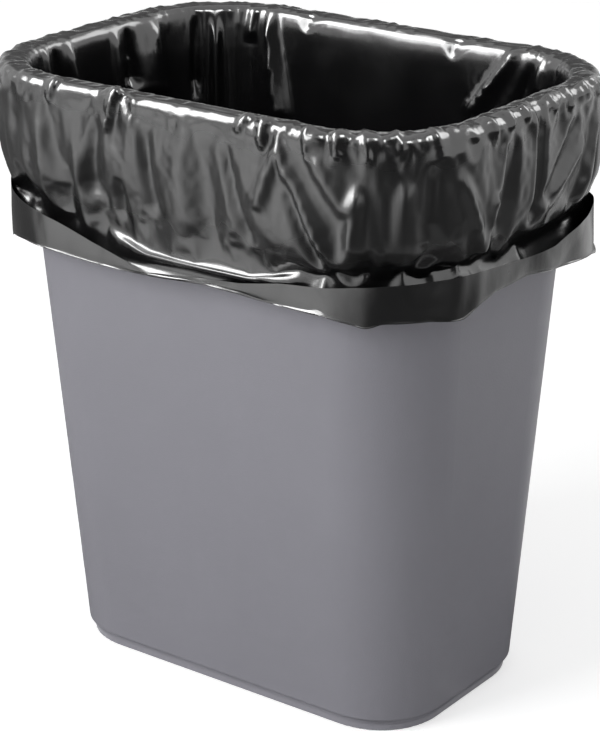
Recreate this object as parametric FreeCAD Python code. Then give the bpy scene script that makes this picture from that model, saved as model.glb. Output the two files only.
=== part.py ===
# Deskside waste basket with a film liner hung in it and cuffed over its rim.
# Millimetres. Origin on the floor under the middle of the basket, +Z up.
# +X runs along the long sides, and -Y is the front.

import FreeCAD, Part
import math
import os

# Basket, moulded in one piece
HEIGHT = 400.0
RIM_LENGTH = 350.0
RIM_WIDTH = 255.0
RIM_CORNER = 76.0
RIM_OVERHANG = 12.0
RIM_DEPTH = 17.0
RIM_ROUND = 6.0
RIM_THICKNESS = 2.4
BASE_LENGTH = 278.0
BASE_WIDTH = 162.0
BASE_CORNER = 47.0
WALL = 2.4
FLOOR_THICKNESS = 3.0
FLOOR_ROUND = 4.0
FOOT_HEIGHT = 9.0
FOOT_INSET = 3.0
FOOT_RING = 9.0
FOOT_RECESS = 2.0
EDGE_ROUND = 1.0

# Liner, one bag of film
FILM = 0.5
RIM_CLEARANCE = 0.9
WALL_CLEARANCE = 2.5
BAG_FLOOR_GAP = 0.3
BAG_FLOOR_INSET = 12.0
INSIDE_ROWS = 7
PLAIN_COLUMNS = 64
CLOSEST_COLUMNS = 6.0

# Each row down the cuff: drop from the rim's top, how far out from the rim's side on a side and
# in a corner, share of a fold's depth.
CUFF_ROWS = (
    (16.0, 1.4, 1.0, 0.4),
    (34.0, 3.2, 1.2, 0.9),
    (50.0, 2.2, -0.3, 1.0),
    (62.0, -0.2, -2.6, 0.5),
    (76.0, -5.0, -7.6, 0.1),
)
TUCK_RISE = 9.0
TUCK_DEPTH = 3.4
HEM_FOLD = 1.2
CORNER_GATHER = 1.3

# The liner's folds are placed by their share of the way round the rim, from the middle of the
# front and on past the front right corner.
# Each row of the hem: place, drop of its folded lower edge and of its free upper edge, how far
# out from the rim's side each of them is.
HEM = (
    (0.000, 108.2, 104.8, -2.4, -2.2),
    (0.045, 106.8, 100.0, -2.4, -2.0),
    (0.073, 108.0, 94.0, -2.0, -1.8),
    (0.103, 108.0, 91.0, -1.4, -2.2),
    (0.128, 112.5, 88.0, -0.4, -2.4),
    (0.138, 109.4, 87.0, -1.0, -2.2),
    (0.164, 109.8, 86.0, -1.2, -1.8),
    (0.184, 112.8, 86.6, -0.6, -1.8),
    (0.201, 107.5, 87.8, -1.6, -2.2),
    (0.217, 104.5, 89.5, -2.0, -2.4),
    (0.251, 104.4, 93.0, -2.4, -1.8),
    (0.275, 108.0, 92.5, -2.0, -0.4),
    (0.304, 110.5, 85.0, -0.6, 1.8),
    (0.335, 115.0, 81.0, 2.6, 3.0),
    (0.346, 114.0, 81.0, 1.4, 1.6),
    (0.375, 109.0, 85.0, 0.0, -0.8),
    (0.420, 107.0, 87.0, -1.4, -2.0),
    (0.500, 110.0, 91.0, -2.0, -1.6),
    (0.580, 107.0, 85.0, -2.0, -1.0),
    (0.625, 112.0, 88.0, -1.4, -2.4),
    (0.690, 108.0, 86.0, -1.0, -2.0),
    (0.740, 110.0, 91.0, -2.0, -2.0),
    (0.797, 110.0, 86.0, -1.0, 0.4),
    (0.826, 111.5, 79.0, -0.4, 0.6),
    (0.848, 114.0, 75.0, 1.6, 1.6),
    (0.867, 108.5, 76.0, -0.6, -0.4),
    (0.885, 106.5, 81.0, -1.6, -1.6),
    (0.913, 108.5, 88.0, -2.0, -1.8),
    (0.941, 110.0, 96.5, -2.2, -1.8),
    (0.963, 110.0, 102.5, -2.4, -2.2),
    (0.982, 109.2, 106.4, -2.4, -2.2),
)

# Folds of the cuff: place, half width, how far it stands out at half height (in if below 0).
CUFF_FOLDS = (
    (-0.050, 0.012, -4.0),
    (-0.022, 0.010, -3.0),
    (0.006, 0.012, 2.4),
    (0.040, 0.009, -2.4),
    (0.062, 0.010, -4.0),
    (0.082, 0.010, 3.0),
    (0.102, 0.011, -3.6),
    (0.124, 0.010, 3.2),
    (0.143, 0.012, -3.4),
    (0.186, 0.012, 3.6),
    (0.205, 0.010, -3.4),
    (0.232, 0.009, 2.4),
    (0.250, 0.009, -3.6),
    (0.272, 0.011, 2.6),
    (0.300, 0.012, -3.4),
    (0.345, 0.012, -3.6),
    (0.385, 0.012, 3.0),
    (0.440, 0.014, -3.4),
    (0.500, 0.016, 2.4),
    (0.560, 0.014, -3.6),
    (0.610, 0.012, 2.6),
    (0.650, 0.012, -3.4),
    (0.700, 0.012, 2.8),
    (0.745, 0.014, -3.6),
    (0.790, 0.012, 2.8),
    (0.830, 0.012, -3.4),
    (0.868, 0.010, 2.4),
    (0.912, 0.012, -3.0),
)

# Folds of the bag inside the basket: place, half width, how far it stands in, share of the height.
BAG_FOLDS = (
    (0.030, 0.018, 9.0, 0.6),
    (0.125, 0.014, 12.0, 0.8),
    (0.180, 0.014, 10.0, 0.7),
    (0.290, 0.014, 12.0, 0.8),
    (0.388, 0.010, 8.0, 0.4),
    (0.420, 0.016, 17.0, 0.9),
    (0.480, 0.010, 5.0, 0.2),
    (0.540, 0.020, 5.0, 0.5),
    (0.592, 0.014, 18.0, 0.9),
    (0.620, 0.009, 8.0, 0.3),
    (0.648, 0.010, 9.0, 0.9),
    (0.668, 0.009, 8.0, 0.4),
    (0.700, 0.016, 10.0, 0.5),
    (0.725, 0.009, 8.0, 0.4),
    (0.784, 0.012, 14.0, 0.7),
    (0.815, 0.010, 8.0, 0.6),
    (0.880, 0.016, 10.0, 0.8),
    (0.950, 0.018, 8.0, 0.6),
)

CORNERS = ((1, -1, -90), (1, 1, 0), (-1, 1, 90), (-1, -1, 180))
SIDES = ((0, -1), (1, 0), (0, 1), (-1, 0))


def vector(x, y, z):
    return FreeCAD.Vector(x, y, z)


def mix(a, b, share):
    return a + (b - a) * share


def basket_size(height):
    """Outer length, width and corner radius of the tapered wall at a height."""
    share = height / HEIGHT
    return (
        mix(BASE_LENGTH, RIM_LENGTH - 2 * RIM_OVERHANG, share),
        mix(BASE_WIDTH, RIM_WIDTH - 2 * RIM_OVERHANG, share),
        mix(BASE_CORNER, RIM_CORNER - RIM_OVERHANG, share),
    )


def inset(size, by):
    length, width, corner = size
    return length - 2 * by, width - 2 * by, corner - by


def rounded_rectangle(size, height):
    """Closed wire of four sides and four corner arcs."""
    length, width, corner = size
    x, y = length / 2 - corner, width / 2 - corner
    edges = []
    for number, (sx, sy, first) in enumerate(CORNERS):
        centre = vector(sx * x, sy * y, height)
        angles = [math.radians(first + turn) for turn in (0, 45, 90)]
        arc = [centre + vector(corner * math.cos(a), corner * math.sin(a), 0) for a in angles]
        edges.append(Part.Arc(*arc).toShape())
        sx, sy, first = CORNERS[(number + 1) % 4]
        start = math.radians(first)
        after = vector(sx * x + corner * math.cos(start), sy * y + corner * math.sin(start), height)
        edges.append(Part.LineSegment(arc[2], after).toShape())
    return Part.Wire(edges)


def loft(*sections):
    """Ruled solid through (size, height) sections."""
    return Part.makeLoft([rounded_rectangle(size, height) for size, height in sections], True, True)


def edges_at(shape, height):
    """Edges that lie flat at one height."""
    found = []
    for edge in shape.Edges:
        box = edge.BoundBox
        if abs(box.ZMin - height) < 1e-4 and abs(box.ZMax - height) < 1e-4:
            found.append(edge)
    return found


def block(size, bottom, top, round_top):
    """Upright block with a rounded rectangle's outline and its top edge rounded over."""
    shape = loft((size, bottom), (size, top))
    return shape.makeFillet(round_top, edges_at(shape, top))


def make_basket():
    """Tapered wall, inset foot and a rim turned over into a skirt."""
    wall = loft((basket_size(FOOT_HEIGHT), FOOT_HEIGHT), (basket_size(HEIGHT), HEIGHT))
    wall = wall.makeFillet(EDGE_ROUND, edges_at(wall, FOOT_HEIGHT))
    foot_size = inset(basket_size(0), FOOT_INSET)
    foot = loft((foot_size, 0), (foot_size, FOOT_HEIGHT + FOOT_INSET))
    foot = foot.makeFillet(EDGE_ROUND, edges_at(foot, 0))

    rim_size = (RIM_LENGTH, RIM_WIDTH, RIM_CORNER)
    rim = block(rim_size, HEIGHT - RIM_DEPTH, HEIGHT, RIM_ROUND)
    under_rim = block(
        inset(rim_size, RIM_THICKNESS),
        HEIGHT - RIM_DEPTH,
        HEIGHT - RIM_THICKNESS,
        RIM_ROUND - RIM_THICKNESS,
    )
    rim = rim.cut(under_rim)

    floor_top = FOOT_RECESS + FLOOR_THICKNESS
    step_bottom, step_top = FOOT_HEIGHT + EDGE_ROUND, FOOT_HEIGHT + FOOT_INSET + EDGE_ROUND
    cavity = loft(
        (inset(foot_size, WALL), floor_top),
        (inset(foot_size, WALL), step_bottom),
        (inset(basket_size(step_top), WALL), step_top),
        (inset(basket_size(HEIGHT + RIM_DEPTH), WALL), HEIGHT + RIM_DEPTH),
    )
    cavity = cavity.makeFillet(FLOOR_ROUND, edges_at(cavity, floor_top))
    recess_size = inset(foot_size, FOOT_RING)
    recess = loft((recess_size, -FOOT_RECESS), (recess_size, FOOT_RECESS))
    basket = wall.fuse([foot, rim]).cut([cavity, recess]).removeSplitter()
    inner_top = [e for e in edges_at(basket, HEIGHT) if e.BoundBox.XMax < RIM_LENGTH / 2 - RIM_OVERHANG]
    return basket.makeFillet(EDGE_ROUND, inner_top)


def way_round():
    """Lengths of the rim's eight stretches, from the middle of the front."""
    long_side = RIM_LENGTH - 2 * RIM_CORNER
    short_side = RIM_WIDTH - 2 * RIM_CORNER
    corner = math.pi / 2 * RIM_CORNER
    return [long_side, corner, short_side, corner] * 2


def outline_point(size, share):
    """Point and outward direction on an outline, at a share of the way round the rim."""
    length, width, corner = size
    x, y = length / 2 - corner, width / 2 - corner
    stretches = way_round()
    along = (share % 1.0) * sum(stretches) + stretches[0] / 2
    along %= sum(stretches)
    number = 0
    while number < 7 and along > stretches[number]:
        along -= stretches[number]
        number += 1
    part = along / stretches[number]
    if number % 2:
        sx, sy, first = CORNERS[number // 2]
        angle = math.radians(first + 90 * part)
        nx, ny = math.cos(angle), math.sin(angle)
        return sx * x + corner * nx, sy * y + corner * ny, nx, ny
    nx, ny = SIDES[number // 2]
    run_x, run_y = -ny, nx
    part = 2 * part - 1
    return (
        nx * (x + corner) + run_x * x * part,
        ny * (y + corner) + run_y * y * part,
        nx,
        ny,
    )


def hat(share, place, half_width):
    """1 at a fold's line, falling straight to 0 at its edges."""
    away = abs((share - place + 0.5) % 1.0 - 0.5)
    return max(0.0, 1.0 - away / half_width)


def between(rows, share, column):
    """Value of a column of a list at a share of the way round, straight between its rows."""
    share %= 1.0
    for number, row in enumerate(rows):
        after = rows[(number + 1) % len(rows)]
        width = (after[0] - row[0]) % 1.0
        if (share - row[0]) % 1.0 <= width:
            return mix(row[column], after[column], ((share - row[0]) % 1.0) / width)
    raise ValueError("no row of the list lies at this place")


def in_corner(share):
    """How deep in a corner a place is: 0 on the sides and 1 at the middle of a corner."""
    nx, ny = outline_point((RIM_LENGTH, RIM_WIDTH, RIM_CORNER), share)[2:]
    return 2 * abs(nx * ny)


def film_columns():
    """Places of the film's upright lines: evenly spread, and on each fold's line and edges."""
    around = sum(way_round())
    lines = []
    for place, half_width, *_ in CUFF_FOLDS + BAG_FOLDS:
        lines += [place, place - half_width, place + half_width]
    lines += [row[0] for row in HEM]
    plain = [n / PLAIN_COLUMNS for n in range(PLAIN_COLUMNS)]
    kept = []
    for place in [p % 1.0 for p in lines] + plain:
        near = min([abs((place - k + 0.5) % 1.0 - 0.5) for k in kept] or [1.0])
        if near * around >= CLOSEST_COLUMNS:
            kept.append(place)
    return sorted(kept)


def bag_point(share, level):
    """Inside the basket: level 0 is at the bag's floor and 1 just under the rim."""
    bottom = FOOT_RECESS + FLOOR_THICKNESS + BAG_FLOOR_GAP
    height = mix(bottom, HEIGHT - RIM_ROUND, level)
    gap = WALL_CLEARANCE + BAG_FLOOR_INSET * max(0.0, 1.0 - level * INSIDE_ROWS)
    for place, half_width, depth, reach in BAG_FOLDS:
        above = max(0.0, (level - (1.0 - reach)) / reach)
        gap += depth * hat(share, place, half_width) * math.sqrt(abs(math.sin(math.pi * above)))
    x, y, nx, ny = outline_point(inset(basket_size(height), WALL), share)
    return vector(x - nx * gap, y - ny * gap, height)


def over_rim(share, gather):
    """Points over the rim, from its inner edge to its outer face, lifted where it is gathered."""
    inner_edge = -(RIM_OVERHANG + WALL)
    turned = (RIM_ROUND + RIM_CLEARANCE) * math.tan(math.radians(22.5))
    rows = (
        (inner_edge - RIM_CLEARANCE, RIM_ROUND / 2, 0.0),
        (inner_edge - RIM_CLEARANCE / 2, 0.0, 0.4),
        (-RIM_ROUND - turned, 0.0, 1.0),
        (turned - RIM_ROUND, 0.0, 1.0),
        (RIM_CLEARANCE, RIM_ROUND - turned, 0.7),
    )
    return [rim_point(share, out + gather * lift / 2, drop - gather * lift) for out, drop, lift in rows]


def rim_point(share, out, drop):
    """Point at an offset out from the rim's side and a drop below its top."""
    x, y, nx, ny = outline_point((RIM_LENGTH, RIM_WIDTH, RIM_CORNER), share)
    return vector(x + nx * out, y + ny * out, HEIGHT - drop)


def cuff(share):
    """Points down the cuff, round the folded lower edge and up the hem to the free edge."""
    fold_drop, free_drop, fold_out, free_out = [between(HEM, share, column) for column in (1, 2, 3, 4)]
    relief = sum(depth * hat(share, place, half_width) for place, half_width, depth in CUFF_FOLDS)
    points = []
    for drop, side_out, corner_out, strength in CUFF_ROWS:
        out = mix(side_out, corner_out, in_corner(share)) + relief * strength
        if drop < RIM_DEPTH:
            out = max(out, RIM_CLEARANCE)
        points.append(rim_point(share, out, drop))
    points.append(rim_point(share, fold_out - TUCK_DEPTH, fold_drop - TUCK_RISE))
    points.append(rim_point(share, fold_out - HEM_FOLD, fold_drop))
    points.append(rim_point(share, fold_out, fold_drop))
    points.append(rim_point(share, mix(fold_out, free_out, 0.4) + 0.4, mix(fold_drop, free_drop, 0.4)))
    points.append(rim_point(share, free_out, free_drop))
    return points


def film_grid():
    """The film's face towards the basket: one list of points for each upright line."""
    grid = []
    for number, share in enumerate(film_columns()):
        gather = CORNER_GATHER * in_corner(share) * (number % 2)
        bag = [bag_point(share, row / (INSIDE_ROWS - 1)) for row in range(INSIDE_ROWS)]
        grid.append(bag + over_rim(share, gather) + cuff(share))
    return grid


def face_normals(grid):
    """Unit normals at the points, pointing away from the basket."""
    columns, rows = len(grid), len(grid[0])
    normals = []
    for c in range(columns):
        line = []
        for r in range(rows):
            across = grid[(c + 1) % columns][r] - grid[c - 1][r]
            up = grid[c][min(r + 1, rows - 1)] - grid[c][max(r - 1, 0)]
            normal = up.cross(across)
            line.append(normal.normalize())
        normals.append(line)
    return normals


def make_liner():
    """Thin closed solid between the film's two faces."""
    back = film_grid()
    normals = face_normals(back)
    columns, rows = len(back), len(back[0])
    front = []
    for c in range(columns):
        front.append([back[c][r] + normals[c][r] * FILM for r in range(rows)])
        front[c][0] = vector(front[c][0].x, front[c][0].y, back[c][0].z + FILM)
    faces = []

    def triangle(a, b, c):
        faces.append(Part.Face(Part.makePolygon([a, b, c, a])))

    def quad(a, b, c, d):
        triangle(a, b, c)
        triangle(a, c, d)

    for c in range(columns):
        after = (c + 1) % columns
        for r in range(rows - 1):
            quad(back[c][r], back[c][r + 1], back[after][r + 1], back[after][r])
            quad(front[c][r], front[after][r], front[after][r + 1], front[c][r + 1])
        quad(back[c][-1], front[c][-1], front[after][-1], back[after][-1])
    for side in (back, front):
        ring = [side[c][0] for c in range(columns)]
        faces.append(Part.Face(Part.makePolygon(ring + [ring[0]])))
    shell = Part.makeShell(faces)
    shell.sewShape()
    solid = Part.Solid(shell.Shells[0] if shell.Shells else shell)
    if solid.Volume < 0:
        solid.reverse()
    return solid


def main():
    os.makedirs("parts", exist_ok=True)
    for name, shape in (("basket", make_basket()), ("liner", make_liner())):
        shape.exportStep(os.path.join("parts", name + ".step"))
        print(name, "solids", len(shape.Solids), "faces", len(shape.Faces), "valid", shape.isValid())
        print(name, "volume", round(shape.Volume), shape.BoundBox)


main()
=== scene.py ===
# Waste basket with a film liner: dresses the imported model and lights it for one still.
import math

import bpy
import numpy as np
from mathutils import Matrix, Vector, noise


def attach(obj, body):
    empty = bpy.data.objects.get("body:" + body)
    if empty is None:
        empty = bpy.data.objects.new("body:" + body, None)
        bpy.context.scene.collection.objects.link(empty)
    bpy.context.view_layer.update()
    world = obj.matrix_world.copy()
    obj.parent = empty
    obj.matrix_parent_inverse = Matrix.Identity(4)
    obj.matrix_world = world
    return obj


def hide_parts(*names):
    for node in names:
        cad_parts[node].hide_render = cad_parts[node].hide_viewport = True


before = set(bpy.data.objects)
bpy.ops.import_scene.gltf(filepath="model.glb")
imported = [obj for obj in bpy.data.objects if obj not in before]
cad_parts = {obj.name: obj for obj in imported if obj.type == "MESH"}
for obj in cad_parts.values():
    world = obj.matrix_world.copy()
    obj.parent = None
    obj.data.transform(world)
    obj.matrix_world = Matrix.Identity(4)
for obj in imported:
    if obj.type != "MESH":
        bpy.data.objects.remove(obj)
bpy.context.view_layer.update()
mm = 0.001


def newGroup(name, inputs, outputs):  # sockets given as (name, kind, value) and (name, kind)
    tree = bpy.data.node_groups.new(name, "ShaderNodeTree")
    for label, kind, value in inputs:
        socket = tree.interface.new_socket(label, in_out="INPUT", socket_type=kind)
        if value is not None:
            socket.default_value = value
    for label, kind in outputs:
        tree.interface.new_socket(label, in_out="OUTPUT", socket_type=kind)
    return tree, tree.nodes.new("NodeGroupInput"), tree.nodes.new("NodeGroupOutput")


def fineTexture():
    tree, given, out = newGroup(
        "fineTexture",
        (("Vector", "NodeSocketVector", None), ("Scale", "NodeSocketFloat", 200.0),
         ("Detail", "NodeSocketFloat", 3.0), ("Low", "NodeSocketFloat", 0.0),
         ("High", "NodeSocketFloat", 1.0)),
        (("Mask", "NodeSocketFloat"),),
    )
    grain = tree.nodes.new("ShaderNodeTexNoise")
    span = tree.nodes.new("ShaderNodeMapRange")
    tree.links.new(given.outputs["Vector"], grain.inputs["Vector"])
    tree.links.new(given.outputs["Scale"], grain.inputs["Scale"])
    tree.links.new(given.outputs["Detail"], grain.inputs["Detail"])
    tree.links.new(grain.outputs["Fac"], span.inputs["Value"])
    noiseReach = (0.3, 0.7)  # the noise hardly ever goes past these
    span.inputs["From Min"].default_value, span.inputs["From Max"].default_value = noiseReach
    tree.links.new(given.outputs["Low"], span.inputs["To Min"])
    tree.links.new(given.outputs["High"], span.inputs["To Max"])
    tree.links.new(span.outputs["Result"], out.inputs["Mask"])
    return tree


fineTextureGroup = fineTexture()


def newMaterial(name):
    material = bpy.data.materials.new(name)
    material.use_nodes = True
    nodes = material.node_tree.nodes
    nodes.clear()
    out = nodes.new("ShaderNodeOutputMaterial")
    return material, nodes, material.node_tree.links, out


def placeTexture(nodes, links, vector, scale, detail, low, high):
    place = nodes.new("ShaderNodeGroup")
    place.node_tree = fineTextureGroup
    place.inputs["Scale"].default_value = scale
    place.inputs["Detail"].default_value = detail
    place.inputs["Low"].default_value = low
    place.inputs["High"].default_value = high
    links.new(vector, place.inputs["Vector"])
    return place.outputs["Mask"]


basketLook = {
    "colour": (0.262, 0.258, 0.290),
    "darkerColour": (0.250, 0.246, 0.276),
    "toneSize": 9.0,  # noise scales per metre
    "roughness": (0.42, 0.50),
    "sheenSize": 60.0,
    "grainSize": 900.0,
    "grainHeight": 0.00004,  # metres
}


def basketPlastic(look):
    material, nodes, links, out = newMaterial("basketPlastic")
    shader = nodes.new("ShaderNodeBsdfPrincipled")
    place = nodes.new("ShaderNodeTexCoord").outputs["Object"]
    tone = placeTexture(nodes, links, place, look["toneSize"], 2.0, 0.0, 1.0)
    blend = nodes.new("ShaderNodeMix")
    blend.data_type = "RGBA"
    blend.inputs["A"].default_value = (*look["colour"], 1)
    blend.inputs["B"].default_value = (*look["darkerColour"], 1)
    links.new(tone, blend.inputs["Factor"])
    links.new(blend.outputs["Result"], shader.inputs["Base Color"])
    sheen = placeTexture(nodes, links, place, look["sheenSize"], 3.0, *look["roughness"])
    links.new(sheen, shader.inputs["Roughness"])
    bump = nodes.new("ShaderNodeBump")
    bump.inputs["Distance"].default_value = look["grainHeight"]
    links.new(placeTexture(nodes, links, place, look["grainSize"], 2.0, 0.0, 1.0), bump.inputs["Height"])
    links.new(bump.outputs["Normal"], shader.inputs["Normal"])
    links.new(shader.outputs["BSDF"], out.inputs["Surface"])
    return material


plastic = basketPlastic(basketLook)
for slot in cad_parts["basket"].material_slots:
    slot.material = plastic
print("basket dressed")


linerPlan = {  # mm, as everywhere until the points are handed to a mesh
    "columns": 300,  # points round the film, doubled for the fine relief
    "rim": (350.0, 255.0, 76.0, 400.0),  # the basket's rim: length, width, corner radius, height
    "rimWall": 14.4,  # from the rim's outer side to the wall's inner face
    "rimRound": 6.0,  # radius of the rim's outer edge
    "rimDepth": 17.0,  # how far its skirt comes down
    "base": (278.0, 162.0, 47.0),  # the basket's foot: length, width, corner radius
    "baseWall": 5.4,
    "cuff": (98.5, 51.14, 78.8),  # half of each straight and the corner radius of the film outside
    "bagFloor": 5.6,  # its height
    "clearance": 0.35,  # least gap between film and basket
    "bagGap": 0.5,  # least gap between the bag's section and the wall's inner face
    "hemGap": 1.3,  # least gap between the cuff and the hem before it
    "skirtReach": 60,  # how far below the rim's skirt the film is kept off the basket
    "calmInside": 0.3,  # share of the wrinkles that the bag keeps inside
    "calmFrom": -4,  # over the rim, so inside it
}

drapePlan = {
    "scale": 10.0,  # the cloth solver works best on things of a few metres
    "frames": 26,
    "quality": 6,
    "spareFilm": 0.011,  # share by which the film is wider and longer than the way it hangs
    "stiffness": 60.0,  # against stretching, and a third of it against shearing
    "bending": 8.0,
    "damping": (15.0, 10.0, 2.0),  # of stretching, shearing and bending
    "airDamping": 3.0,
    "friction": 20.0,
    "mass": 0.3,
    "from": -14.0,  # mm over the rim from where the film is free to move
    "rimSkin": 0.3,  # mm that the solver keeps between rim and film
    "filmSkin": 0.5,
}

# Hem: mm round from the middle of the front, height of its fold and of its free edge, and how far
# out from the rim's side each of the two is.
hemPlan = [
    (-222, 290, 314, -2.2, -1.8),
    (-190, 288.5, 321, -3.4, -3.2),
    (-168, 286, 325, -3.6, -3.8),
    (-160, 286.5, 325, -3.4, -3.6),
    (-146, 291.5, 324, -2.6, -2.6),
    (-126, 293.5, 319, -1.6, -1.6),
    (-95, 291.5, 312, -2.0, -1.8),
    (-65, 290, 303.5, -2.2, -1.8),
    (-40, 290, 297.5, -2.4, -2.2),
    (-20, 290.8, 293.6, -2.4, -2.2),
    (-5, 291.5, 294.8, -2.4, -2.2),
    (25, 293.5, 298, -2.4, -2.2),
    (50, 293.2, 300, -2.4, -2.0),
    (80, 292, 306, -2.0, -1.8),
    (113, 292, 309, -1.4, -2.2),
    (132, 289, 311.5, -0.8, -2.4),
    (140, 287.4, 312, -0.4, -2.4),
    (150, 290.6, 313, -1.0, -2.2),
    (179, 290.2, 314, -1.2, -1.8),
    (196, 287.6, 313.6, -0.6, -1.6),
    (203, 287.2, 313.4, -0.6, -1.8),
    (220, 292.5, 312.2, -1.6, -2.2),
    (237, 295.5, 310.5, -2.0, -2.4),
    (275, 295.6, 307, -2.4, -1.8),
    (301, 292, 307.5, -2.0, -0.4),
    (333, 289.5, 315, -0.4, 1.4),
    (352, 287.6, 317.4, 1.0, 2.2),
    (366, 285, 319, 2.4, 2.8),
    (378, 286, 319, 2.4, 2.8),
    (410, 291, 315, 1.2, 0.8),
    (460, 293, 313, -1.4, -2.0),
    (547, 290, 309, -2.0, -1.6),
    (634, 293, 315, -2.0, -1.0),
    (684, 288, 312, -1.4, -2.4),
    (755, 292, 314, -1.0, -2.0),
    (809, 290, 309, -2.0, -2.0),
]

# Long folds: start and end, each as mm round and mm over the rim (below 0 inside the bag), then
# half width, height (sunk if below 0), lean from -1 to 1, kind.
foldPlan = [
    # front, from the left corner
    (-150, 30, -158, 100, 14, 3.9, 0.3, "sharp"),
    (-122, 20, -135, 102, 14, -3.9, -0.2, "soft"),
    (-100, 20, -105, 100, 16, 3.6, 0.3, "sharp"),
    (-71, 38, -77, 100, 13, 3.2, 0.3, "soft"),
    (-52, 20, -66, 76, 14, -3.6, 0.3, "soft"),
    (-38, 54, -43, 88, 10, -2.6, 0.3, "soft"),
    (-17, 16, -12, 80, 12, -5.1, 0.4, "sharp"),
    (10, 16, 14, 104, 28, 3.0, 0.0, "soft"),
    (42, 16, 63, 82, 12, -5.1, 0.4, "sharp"),
    (84, 14, 70, 56, 9, 4.5, -0.3, "sharp"),
    (79, 10, 124, 90, 12, 6.0, 0.4, "sharp"),
    (90, 28, 112, 88, 10, -5.1, -0.3, "sharp"),
    (104, 16, 132, 50, 12, 4.5, 0.3, "sharp"),
    # front right corner
    (137, 26, 128, 92, 10, 6.3, -0.3, "sharp"),
    (147, 66, 147, 92, 6, 5.4, 0.2, "sharp"),
    (161, 22, 160, 90, 13, 4.5, 0.2, "soft"),
    (176, 14, 178, 88, 12, -3.9, 0.0, "soft"),
    (192, 24, 218, 86, 10, 6.3, 0.4, "sharp"),
    (228, 44, 218, 84, 9, 5.4, -0.4, "sharp"),
    # right side
    (246, 10, 240, 80, 14, -3.9, 0.0, "soft"),
    (275, 6, 273, 82, 7, -7.5, 0.5, "sharp"),
    (334, 30, 264, 84, 14, 4.6, 0.5, "sharp"),
    (322, 16, 284, 70, 12, -3.6, -0.3, "soft"),
    (346, 14, 330, 84, 14, 4.5, 0.3, "sharp"),
    (358, 30, 352, 90, 12, -5.1, 0.0, "soft"),
    # back and left, out of the photo
    (390, 10, 384, 84, 14, 5.1, 0.3, "sharp"),
    (414, 20, 408, 84, 14, -4.5, 0.0, "soft"),
    (440, 6, 452, 84, 13, 5.4, -0.3, "sharp"),
    (484, 14, 508, 84, 13, 5.1, 0.3, "sharp"),
    (530, 12, 522, 84, 16, -4.2, 0.0, "soft"),
    (572, 10, 558, 76, 12, 5.1, -0.4, "sharp"),
    (600, 20, 606, 84, 15, -4.2, 0.0, "soft"),
    (628, 6, 646, 84, 13, 5.7, 0.3, "sharp"),
    (668, 10, 664, 84, 14, -5.1, 0.2, "soft"),
    (690, 20, 704, 80, 12, 5.1, 0.3, "sharp"),
    (722, 6, 738, 76, 12, 5.4, 0.4, "sharp"),
    (756, 12, 752, 84, 15, -4.5, 0.0, "soft"),
    (784, 6, 798, 84, 13, 5.1, -0.3, "sharp"),
    (822, 10, 816, 84, 15, -4.2, 0.0, "soft"),
    (848, 6, 862, 84, 12, 5.4, 0.4, "sharp"),
    (884, 20, 878, 84, 14, -4.5, 0.0, "soft"),
    (908, 30, 900, 84, 14, 4.2, 0.2, "soft"),
    # inside, towards the camera: back and left walls
    (425, -12, 430, -34, 8, 4.0, 0.2, "sharp"),
    (450, -4, 486, -58, 11, 7.0, 0.5, "sharp"),
    (436, -14, 462, -90, 12, -4.0, 0.0, "soft"),
    (654, -4, 637, -90, 12, 10.0, 0.6, "sharp"),
    (668, -6, 670, -30, 8, 5.0, -0.2, "sharp"),
    (707, -6, 706, -120, 12, 7.0, 0.7, "sharp"),
    (724, -8, 726, -70, 8, -4.0, 0.3, "soft"),
    (775, -8, 776, -66, 26, 8.0, 0.0, "soft"),
    (800, -10, 797, -54, 8, -6.0, 0.4, "sharp"),
    (812, -10, 812, -60, 9, 5.0, 0.3, "sharp"),
    (860, -6, 856, -80, 10, 7.0, 0.5, "sharp"),
    (872, -10, 868, -60, 8, -4.0, 0.0, "soft"),
    (884, -8, 884, -50, 8, 5.0, -0.3, "sharp"),
    # inside, under the near rim
    (-60, -14, -40, -120, 18, 5.0, 0.2, "soft"),
    (30, -14, 30, -150, 24, 5.0, 0.0, "soft"),
    (120, -14, 140, -130, 14, 7.0, 0.3, "sharp"),
    (210, -14, 200, -140, 14, 6.0, -0.3, "sharp"),
    (290, -14, 300, -130, 14, 6.0, 0.2, "sharp"),
    (360, -14, 350, -130, 12, 6.0, 0.2, "sharp"),
]

# Puckers at the rim's edge: mm round and mm over the rim of their lower tip and of their top, half
# width there, height (sunk if below 0), lean.
puckerPlan = [
    (-92, 19, -87, 0, 9, 3.6, 1),
    (-46, 31, -36, 0, 12, 5.6, 1),
    (-27, 26, -24, 4, 7, 2.4, -0.6),
    (53, 14, 61, 0, 8, 3.6, 1),
    (73, 21, 68, 1, 9, 4.4, -1),
    (106, 23, 100, 0, 9, 4.4, -0.8),
    (124, 18, 118, 1, 9, 4.0, -0.8),
    (141, 20, 136, -3, 10, 3.8, -0.8),
    (160, 13, 156, -2, 7, 1.8, -0.6),
    (183, 19, 178, -3, 10, 3.4, -0.8),
    (208, 12, 205, -2, 7, 1.8, 0.7),
    (226, 20, 221, -3, 9, 3.2, -0.8),
    (242, 15, 246, 1, 9, 3.4, 0.8),
    (262, 14, 258, 2, 8, 2.8, -0.8),
    (275, 24, 277, 1, 9, -3.2, 0.6),
    (291, 14, 288, 1, 9, 3.0, -0.8),
    (309, 16, 311, 1, 9, 3.4, 0.8),
    (331, 15, 328, 1, 9, 3.0, -0.8),
    (347, 17, 346, 1, 10, 3.2, 0.6),
    # inside
    (620, -20, 615, -4, 17, -1.6, 0.2),
    (502, -21, 496, -4, 18, -1.8, 0.2),
]

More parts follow.
